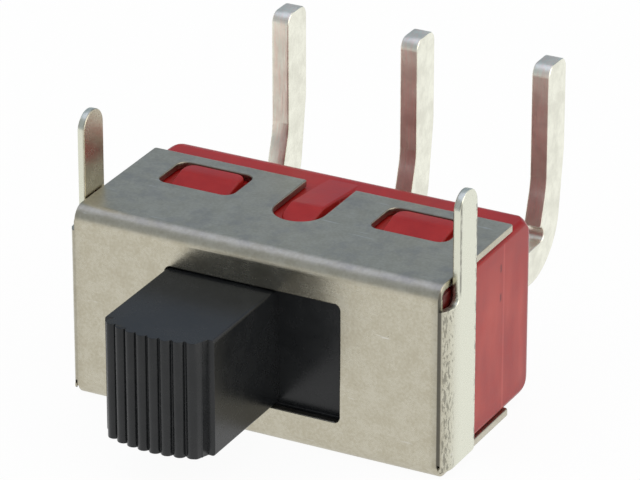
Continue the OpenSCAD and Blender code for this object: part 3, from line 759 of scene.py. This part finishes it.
combine(case, level, "INTERSECT")

# %% Blend the three edges at each back corner with a ball
BALL_R, BALL_INSET = 0.75, 0.6
BALL_D = CASE_BACK - BALL_R
for x in (CASE_HALF - BALL_INSET, BALL_INSET - CASE_HALF):
    for z in (CASE_HIGH - BALL_INSET, CASE_LOW + BALL_INSET):
        outward = math.copysign(1, x), 1, math.copysign(1, z - HEIGHT / 2)
        low, high = zip(*(sorted((a, a + way)) for a, way in zip((x, BALL_D, z), outward)))
        corner = block("corner", low, high)
        bpy.ops.mesh.primitive_uv_sphere_add(
            segments=64, ring_count=32, radius=BALL_R * MM, location=at(x, BALL_D, z)
        )
        cut(corner, bpy.context.object)
        cut(case, corner)
print("case block:", len(case.data.polygons), "faces")

# %% [markdown]
# The snap lugs ramp up from the front and drop off at the back, so that the frame slides on and
# stays on. The round-nosed lug fills the notch in the top flange, and falls a little to the back.

# %% Lugs
LUG_TOP, LUG_FRONT, LUG_BACK, LUG_HALF = 6.58, 3.15, 4.69, 1.06
LUG_FOOT, LUG_RIM, LUG_SOFT = 5.9, 6.2, 0.09  # its foot is in the wall, its rim above LUG_RIM
NOSE_HALF, NOSE_FRONT, NOSE_BACK, NOSE_R = 0.59, 2.56, 6.19, 0.58
RAMP, FALL = (0, -0.25, 1), (0, 0.1, 1)  # the directions that a lug's slopes face
FALL_FROM = 0, 4.2, 6.53


def soften(lug):
    """Rounds the rim of a lug's top, as the mould does."""
    pick(edit(lug), lambda middle, way: way.z < 0.9 and middle.z > LUG_RIM)
    bmesh.update_edit_mesh(lug.data)
    bevel(LUG_SOFT, 4)
    leave(lug)
    return lug


def snap_lug(x):
    lug = block("lug", (x - LUG_HALF, LUG_FRONT, LUG_FOOT), (x + LUG_HALF, LUG_BACK, LUG_TOP))
    sides = [(x + s * LUG_HALF, d, None) for s in (-1, 1) for d in (LUG_FRONT, LUG_BACK)]
    round_edges(lug, "z", SNAP_R, sides, 8)
    slice_off(lug, (x, LUG_FRONT, CASE_HIGH), RAMP)
    return soften(lug)


lugs = [snap_lug(x) for x in (SNAP_X, -SNAP_X)]
for x in (SNAP_X, -SNAP_X):
    below = snap_lug(x)
    below.location.z = HEIGHT * MM
    lugs.append(flip(below, "z"))
nose = block("nose", (-NOSE_HALF, NOSE_FRONT, LUG_FOOT), (NOSE_HALF, NOSE_BACK, LUG_TOP))
round_edges(nose, "z", NOSE_R, [(s * NOSE_HALF, NOSE_FRONT, None) for s in (-1, 1)], 12)
slice_off(nose, (0, NOSE_FRONT, CASE_HIGH), RAMP)
slice_off(nose, FALL_FROM, FALL)
weld(case, *lugs, soften(nose))
print("lugs:", len(lugs) + 1)

# %% [markdown]
# Inside, the case is a plain hollow with two guides that keep the rocker in its place. Its back
# has a shallow pocket, with a slit for each terminal. Once the terminals are in, that pocket is
# filled with a sealing compound, so the seal is the pocket's own block with the same slits.

# %% Hollow the case, and cut the pocket and the slits in its back
WALL_D, SEAL_D = 5.79, 6.39
HOLLOW_HALF, HOLLOW_LOW, HOLLOW_HIGH = 5.75, 0.87, 5.73
POCKET_HALF, POCKET_LOW, POCKET_HIGH = 5.41, 1.95, 3.97
PITCH, SLIT_HALF, SLIT_LOW, SLIT_HIGH = 4.7, 0.33, 2.33, 3.59
GUIDE_HALF, GUIDE_FRONT, GUIDES = 1, 3.2, ((0.57, 1.545), (4.955, 6.03))
GAP = 0.01  # how much smaller the seal is than its pocket, and its slits than the case's


def slits(piece, inset):
    """Cuts a slit for each terminal."""
    for i in (-1, 0, 1):
        low = i * PITCH - SLIT_HALF + inset, 5, SLIT_LOW + inset
        high = i * PITCH + SLIT_HALF - inset, 7, SLIT_HIGH - inset
        cut(piece, block("slit", low, high))


cut(case, block("hollow", (-HOLLOW_HALF, 0, HOLLOW_LOW), (HOLLOW_HALF, WALL_D, HOLLOW_HIGH)))
for low, high in GUIDES:
    guide = (-GUIDE_HALF, GUIDE_FRONT, low), (GUIDE_HALF, WALL_D + 0.01, high)
    weld(case, block("rocker_guide", *guide))
cut(case, block("pocket", (-POCKET_HALF, SEAL_D, POCKET_LOW), (POCKET_HALF, 7, POCKET_HIGH)))
slits(case, 0)

# %% Finish the case, and spare its back corners, which are round already
BALL_IN, BALL_REACH = 0.3, 0.9
balls = [
    (CASE_HALF - BALL_IN, CASE_BACK - BALL_IN, z, BALL_REACH)
    for z in (CASE_LOW + BALL_IN, CASE_HIGH - BALL_IN)
]
finished(case, "case", "base", red_finish, edge=0.04, segments=3, spared=balls)

# %% The seal in the pocket
low = -POCKET_HALF + GAP, SEAL_D + GAP, POCKET_LOW + GAP
seal = block("seal", low, (POCKET_HALF - GAP, CASE_BACK, POCKET_HIGH - GAP))
slits(seal, GAP)
finished(seal, "terminal_seal", "base", seal_finish, edge=0.03)

# %% [markdown]
# ## The terminals
#
# Each terminal is one stamped shape as thick as the strip. Its run leaves the case level, turns up
# round a wide corner, leans back a little and then stands upright. The shape is drawn by pushing
# one face on from the last, and its corners are rounded afterwards. A corner's rounding starts
# further from the corner the more the edge turns there, so that distance is worked out first.
# Inside the case each has a wide head, and the middle one's is a fork with two round noses, on
# which the rocker tips.

# %% Push a face on, and round a drawn corner
STRIP_HALF = 0.31
FOOT, CORNER, KNEE, TIP = (WALL_D, 2.35), (11.38, 2.35), (11.94, 6.3), (11.94, 9.52)
HUMP, INNER_KNEE, INNER_TIP = (10.25, 4.07), (10.66, 5.4), (10.66, 9.52)  # (depth, z) points


def push(piece, middle, ends):
    """Extrudes the face whose middle is nearest to (depth, z), and puts its two far edges at ends,
    the nearer and lower one first."""
    mesh = edit(piece, "FACE")
    middle = at(0, *middle)
    min(mesh.faces, key=lambda f: (f.calc_center_median() - middle).length).select_set(True)
    bmesh.update_edit_mesh(piece.data)
    bpy.ops.mesh.extrude_region_move(TRANSFORM_OT_translate={"value": (0, 0, 0)})
    mesh = bmesh.from_edit_mesh(piece.data)
    moved = sorted((v for v in mesh.verts if v.select), key=lambda v: v.co.y + v.co.z)
    for vertex, end in zip(moved, [ends[0]] * 2 + [ends[1]] * 2):
        vertex.co = at(vertex.co.x / MM, *end)
    leave(piece)


def round_turn(piece, before, corner, after, radius, segments=12):
    """Rounds the edge along x at a corner of a drawn outline of (depth, z) points."""
    a, b = Vector(before) - Vector(corner), Vector(after) - Vector(corner)
    reach = radius / math.tan(a.angle(b) / 2)
    round_edges(piece, "x", reach, [(None, *corner)], segments)


# %% Draw a terminal
CORNER_R, KNEE_R, POINT_R, RELIEF_R = 2.05, 2.0, 0.38, 0.25


def terminal_shape():
    """The strip from the case's back wall to the tip, before it is moved sideways."""
    strip = block("terminal", (-STRIP_HALF, *FOOT), (STRIP_HALF, 10.25, 3.57))
    push(strip, (10.25, 2.96), [CORNER, (11.553, 3.57)])
    push(strip, (10.9, 3.57), [HUMP, (11.624, 4.07)])
    push(strip, (10.94, 4.07), [INNER_KNEE, KNEE])
    push(strip, (11.3, 5.85), [INNER_TIP, TIP])
    on_all(strip, bpy.ops.mesh.dissolve_limited, angle_limit=math.radians(1))
    round_turn(strip, FOOT, CORNER, KNEE, CORNER_R, 20)
    round_turn(strip, CORNER, KNEE, TIP, KNEE_R)
    round_turn(strip, INNER_TIP, INNER_KNEE, HUMP, KNEE_R)
    round_turn(strip, KNEE, TIP, INNER_TIP, POINT_R)
    round_turn(strip, TIP, INNER_TIP, INNER_KNEE, POINT_R)
    cut(strip, rod("x", RELIEF_R, 4 * STRIP_HALF, (0, 10.25, 3.82)))
    return strip


# %% Give each terminal its own head inside the case
PRONG_FRONT, PRONG_HIGH, PRONG_R = 3.68, 0.5, 0.309
END_HEAD = (3.921, 2.05), (WALL_D, 4.45)
MIDDLE_HEAD = (4.49, 1.625), (WALL_D, 4.875)
for name, x, head in (
    ("left_terminal", -PITCH, END_HEAD),
    ("common_terminal", 0.0, MIDDLE_HEAD),
    ("right_terminal", PITCH, END_HEAD),
):
    strip = terminal_shape()
    weld(strip, block("head", (-STRIP_HALF, *head[0]), (STRIP_HALF, *head[1])))
    if name == "common_terminal":
        for z in (1.625, 4.375):
            low, high = (-STRIP_HALF, PRONG_FRONT, z), (STRIP_HALF, 4.6, z + PRONG_HIGH)
            prong = block("prong", low, high)
            noses = [(s * STRIP_HALF, PRONG_FRONT, None) for s in (-1, 1)]
            round_edges(prong, "z", PRONG_R, noses, 12)
            weld(strip, prong)
    only(strip)
    bpy.ops.transform.translate(value=(x * MM, 0, 0))
    settle()
    finished(strip, name, "base", strip_finish, edge=0.05, segments=3, angle=60)

# %% [markdown]
# ## The slider
#
# Knob, plate and boss are one moulding. The knob's front carries eight ribs that follow a shallow
# arc, with a flat strip at each side. A rib is a round bar: one bar is placed at each pitch along
# the arc, and all are welded to the knob, which leaves the sharp valleys between them. The plate
# closes the frame's window from behind at both ends of the travel, and the boss holds the
# plunger's bore.

# %% The knob
REST_X, KNOB_X, KNOB_HALF, KNOB_LOW, KNOB_HIGH = -1.13, MIDDLE - 1.13, 1.9, 1.28, 5.22
REACH, CROWN, ARC_R, GRIP_HALF = 3.82, 0.72, 4.0, 1.6
KNOB_TALL, MID_Z = KNOB_HIGH - KNOB_LOW, (KNOB_LOW + KNOB_HIGH) / 2
VALLEY = 0.13  # how far the ribs' round core lies below their crowns

sides = KNOB_X - KNOB_HALF, KNOB_X + KNOB_HALF
knob = block("slider", (sides[0], -REACH, KNOB_LOW), (sides[1], 0.31, KNOB_HIGH))
round_edges(knob, "y", 0.1, [(x, None, z) for x in sides for z in (KNOB_LOW, KNOB_HIGH)], 6)
weld(knob, block("root", (sides[0], 0.3, KNOB_LOW), (sides[1], 1.1, KNOB_HIGH)))
core = rod("z", ARC_R - VALLEY, KNOB_TALL, (KNOB_X, ARC_R - REACH - CROWN, MID_Z), 360)
low, high = (KNOB_X - GRIP_HALF, -REACH - 1, KNOB_LOW), (KNOB_X + GRIP_HALF, -2, KNOB_HIGH)
combine(core, block("grip", low, high), "INTERSECT")
weld(knob, core)

# %% Its ribs
RIBS, RIB_PITCH, RIB_R, RIB_SHIFT = 8, 0.4, 0.21, -0.1
for i in range(RIBS):
    x = (i - (RIBS - 1) / 2) * RIB_PITCH + RIB_SHIFT
    reach = REACH + CROWN - ARC_R + math.sqrt(ARC_R**2 - x**2)
    weld(knob, rod("z", RIB_R, KNOB_TALL, (KNOB_X + x, RIB_R - reach, MID_Z), 32))
print("ribs:", RIBS, "and the last one reaches", round(reach, 2), "mm")

# %% The last rib's shoulder, which slopes back to the corner strip
turn, foot = (KNOB_X + x + 0.2, 0.06 - reach), (KNOB_X + GRIP_HALF + 0.08, 0.02 - REACH)
shoulder = block("shoulder", (KNOB_X + x, -reach, KNOB_LOW), (foot[0], 0.1 - REACH, KNOB_HIGH))
slice_off(shoulder, (*turn, 0), (0.06, -0.2, 0))
slice_off(shoulder, (*turn, 0), (foot[1] - turn[1], turn[0] - foot[0], 0))
round_edges(shoulder, "z", 0.059, [(*turn, None)], 6)
weld(knob, shoulder)

# %% Plate, track, boss and bore
PLATE_HALF, PLATE_LOW, PLATE_HIGH = 4.5, 0.95, 5.55
BOSS_R, BOSS_BACK, BORE_R, BORE_END = 1.3, 2.3, 0.75, -0.9


def bar(radius, front, back):
    """A round bar along the slider's middle line, between two depths."""
    piece = rod("y", radius, back - front, (REST_X, (front + back) / 2, MID_Z))
    settle()
    return piece


plate = block(
    "plate", (REST_X - PLATE_HALF, 0.3, PLATE_LOW), (REST_X + PLATE_HALF, 1.1, PLATE_HIGH)
)
cut(plate, block("track", (REST_X - 6, 0, KNOB_LOW), (REST_X + 6, 0.38, KNOB_HIGH)))
weld(knob, plate)
weld(knob, bar(BOSS_R, 1.0, BOSS_BACK))
cut(knob, bar(BORE_R, BORE_END, 4.0))
finished(knob, "slider", "slider", black_finish, edge=0.02, angle=60)

# %% [markdown]
# ## The pieces inside
#
# Most keep their imported shape and only get their finish: silver contacts, a rolled bronze
# rocker and a turned brass plunger. The spring is a steel wire, drawn again as a round one.

# %% Finishes of the pieces inside
def worked_metal(name, dark, light, roughness, grain_mm, stretch):
    """A metal with fine lines along the way it was rolled, drawn or turned."""
    finish = Finish(name, Metallic=1.0)
    lines = finish.noise(grain_mm, detail=3.0, stretch=stretch)
    cloud = finish.noise(0.8, detail=3.0)
    drift = finish.band(lines * 0.5 + cloud * 0.5, 0.3, 0.7)
    finish.set("Base Color", finish.blend(drift, dark, light))
    finish.set("Roughness", roughness + lines * 0.15 + cloud * 0.08)
    finish.bump(lines, 0.003)
    return finish.material


silvers = (0.80, 0.79, 0.76), (0.93, 0.92, 0.90)
bronzes = (0.60, 0.38, 0.20), (0.74, 0.52, 0.29)
brasses = (0.66, 0.50, 0.22), (0.80, 0.64, 0.33)
steels = (0.48, 0.48, 0.49), (0.62, 0.62, 0.63)
silver = worked_metal("silver", *silvers, 0.22, 0.08, (1, 1, 0.1))
inner = {
    "left_contact": silver,
    "right_contact": silver,
    "rocker_contact": worked_metal("rolled_bronze", *bronzes, 0.20, 0.06, (0.08, 1, 1)),
    "plunger": worked_metal("turned_brass", *brasses, 0.18, 0.05, (0.1, 1, 0.1)),
}
drawn_wire = worked_metal("drawn_wire", *steels, 0.24, 0.05, (1, 0.3, 1))

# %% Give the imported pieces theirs
for node, material in inner.items():
    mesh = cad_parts[node].data
    mesh.materials.clear()
    mesh.materials.append(material)
print("pieces in their packed shape:", sorted(inner))

# %% [markdown]
# The spring starts as one small circle, the section of its wire. A Screw modifier carries it
# round and along, and both ends are closed.

# %% The spring behind the plunger
WIRE_R, COIL_R, COIL_TURNS = 0.09, 0.58, 6
COIL_X, COIL_Z, COIL_FROM, COIL_TO = REST_X, MID_Z, -0.7795, 1.431
PRESS = 0.3  # how far the plunger moves
SECTION, STEPS = 16, 32  # corners of the wire's section, and steps in each turn
bpy.ops.mesh.primitive_circle_add(
    vertices=SECTION, radius=WIRE_R * MM, location=at(COIL_X, COIL_FROM, COIL_Z)
)
spring = bpy.context.object
on_all(spring, bpy.ops.transform.translate, value=(COIL_R * MM, 0, 0))
coil = spring.modifiers.new("coil", "SCREW")
coil.axis = "Y"
coil.steps = coil.render_steps = STEPS
coil.iterations = COIL_TURNS
coil.screw_offset = (COIL_TO - COIL_FROM) / COIL_TURNS * MM
bpy.ops.object.modifier_apply(modifier=coil.name)
settle()
on_all(spring, bpy.ops.mesh.fill_holes, sides=SECTION)
on_all(spring, bpy.ops.mesh.normals_make_consistent, inside=False)
spring = finished(spring, "plunger_spring", "slider", drawn_wire)
at(COIL_X, BORE_END, COIL_Z)
1 - PRESS / (COIL_TO + WIRE_R - BORE_END)
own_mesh(spring)

# %% [markdown]
# ## Floor, light and camera
#
# A small bright part is shown on white. The floor looks white to the camera and in reflections,
# and otherwise is plain and pale, so that it still takes the part's shadow. The light is soft and
# comes mostly from above: a broad lamp overhead, weaker ones from the front and the right, and a
# dim world.

# %% White to some rays, and lit to the rest
def white_stage(tree, output, lit, share):
    """White to the camera, mirrors and glass by that share, and the lit shader to the rest."""

    def maths(operation, first, second):
        node = tree.nodes.new("ShaderNodeMath")
        node.operation = operation
        tree.links.new(first, node.inputs[0])
        if isinstance(second, float):
            node.inputs[1].default_value = second
        else:
            tree.links.new(second, node.inputs[1])
        return node.outputs[0]

    path = tree.nodes.new("ShaderNodeLightPath").outputs
    seen = maths("MAXIMUM", path["Is Camera Ray"], path["Is Glossy Ray"])
    seen = maths("MAXIMUM", seen, path["Is Transmission Ray"])
    kind = "ShaderNodeBackground" if "World" in output.bl_idname else "ShaderNodeEmission"
    white = tree.nodes.new(kind)
    white.inputs["Color"].default_value = (1, 1, 1, 1)
    white.inputs["Strength"].default_value = 1
    mix = tree.nodes.new("ShaderNodeMixShader")
    tree.links.new(maths("MULTIPLY", seen, share), mix.inputs[0])
    tree.links.new(lit.outputs[0], mix.inputs[1])
    tree.links.new(white.outputs[0], mix.inputs[2])
    tree.links.new(mix.outputs[0], output.inputs["Surface"])


# %% White floor
DROP = 0.00002  # metres, so that the part's lowest faces don't share its place
bpy.ops.mesh.primitive_plane_add(size=4, location=(0, 0, -DROP))
floor = bpy.context.object
floor.name = "floor"
pale = bpy.data.materials.new("pale_floor")
pale.use_nodes = True
tree = pale.node_tree
lit = tree.nodes["Principled BSDF"]
lit.inputs["Base Color"].default_value = (0.85, 0.85, 0.84, 1)
lit.inputs["Roughness"].default_value = 0.9
white_stage(tree, tree.nodes["Material Output"], lit, 0.95)
floor.data.materials.append(pale)

# %% World
world = bpy.data.worlds.new("studio")
bpy.context.scene.world = world
world.use_nodes = True
tree = world.node_tree
room = tree.nodes["Background"]
room.inputs["Color"].default_value = (0.92, 0.96, 1.0, 1)
room.inputs["Strength"].default_value = 0.45
white_stage(tree, tree.nodes["World Output"], room, 1.0)


# %% Lamps
WARM, WARMER = (1.0, 0.97, 0.92), (1.0, 0.96, 0.88)


def soft_lamp(name, place, aim, size, watts, colour=(1, 1, 1)):
    lamp = bpy.data.objects.new(name, bpy.data.lights.new(name, "AREA"))
    bpy.context.scene.collection.objects.link(lamp)
    lamp.data.size, lamp.data.energy, lamp.data.color = size, watts, colour
    lamp.location = place
    lamp.rotation_euler = (Vector(aim) - Vector(place)).to_track_quat("-Z", "Y").to_euler()
    return lamp


overhead = soft_lamp("overhead", (-0.05, 0.02, 0.5), (0, 0, 0), 0.9, 2.0)
front = soft_lamp("front", (-0.30, -0.42, 0.26), (0, 0, 0.003), 0.5, 0.8, WARM)
overhead.visible_glossy = front.visible_glossy = False
side = soft_lamp("side", (0.45, -0.02, 0.20), (0, 0, 0.003), 0.45, 0.8, WARMER)
print("watts:", [round(lamp.data.energy, 2) for lamp in (overhead, front, side)])

# %% [markdown]
# Metal shows what stands round it. In a white room the flange would be as bright as the front
# plate, and its bend would be blown out. So grey cards stand behind and before the part and a
# bright one hangs above it. Only reflections show them.

# %% Cool grey cards
def grey_card(name, place, size, colour):
    bpy.ops.mesh.primitive_plane_add(size=1, location=place)
    card = bpy.context.object
    card.name = name
    card.scale = (*size, 1)
    card.rotation_euler = (-card.location).to_track_quat("Z", "Y").to_euler()
    card.visible_camera = card.visible_diffuse = False
    card.visible_shadow = card.visible_transmission = False
    glow = bpy.data.materials.new(name)
    glow.use_nodes = True
    tree = glow.node_tree
    grey = tree.nodes.new("ShaderNodeEmission")
    grey.inputs["Color"].default_value = (*colour, 1)
    tree.links.new(grey.outputs[0], tree.nodes["Material Output"].inputs["Surface"])
    card.data.materials.append(glow)


grey_card("back_card", (-0.22, 0.42, 0.25), (1.3, 0.66), (0.33, 0.39, 0.47))
grey_card("front_card", (-0.22, -0.42, 0.27), (1.3, 0.60), (0.42, 0.45, 0.49))
grey_card("top_card", (-0.16, -0.02, 0.62), (1.0, 0.80), (0.80, 0.86, 1.10))

# %% [markdown]
# The camera stands to the right and a little above, far off with a long lens, so that upright
# edges stay nearly parallel, as in a catalogue.

# %% Camera
AZIMUTH, ELEVATION, DISTANCE = math.radians(27.49), math.radians(25.158), 0.156332
target = Vector((0.000761, -0.0002, 0.005769))
flat = math.cos(ELEVATION)
back = Vector((math.sin(AZIMUTH) * flat, -math.cos(AZIMUTH) * flat, math.sin(ELEVATION)))
camera = bpy.data.objects.new("camera", bpy.data.cameras.new("camera"))
bpy.context.scene.collection.objects.link(camera)
camera.location = target + back * DISTANCE
camera.rotation_euler = back.to_track_quat("Z", "Y").to_euler()
camera.data.sensor_width, camera.data.lens = 36, 281.3
camera.data.clip_start, camera.data.clip_end = 0.005, 10
bpy.context.scene.camera = camera
bpy.context.scene.view_settings.view_transform = "Standard"
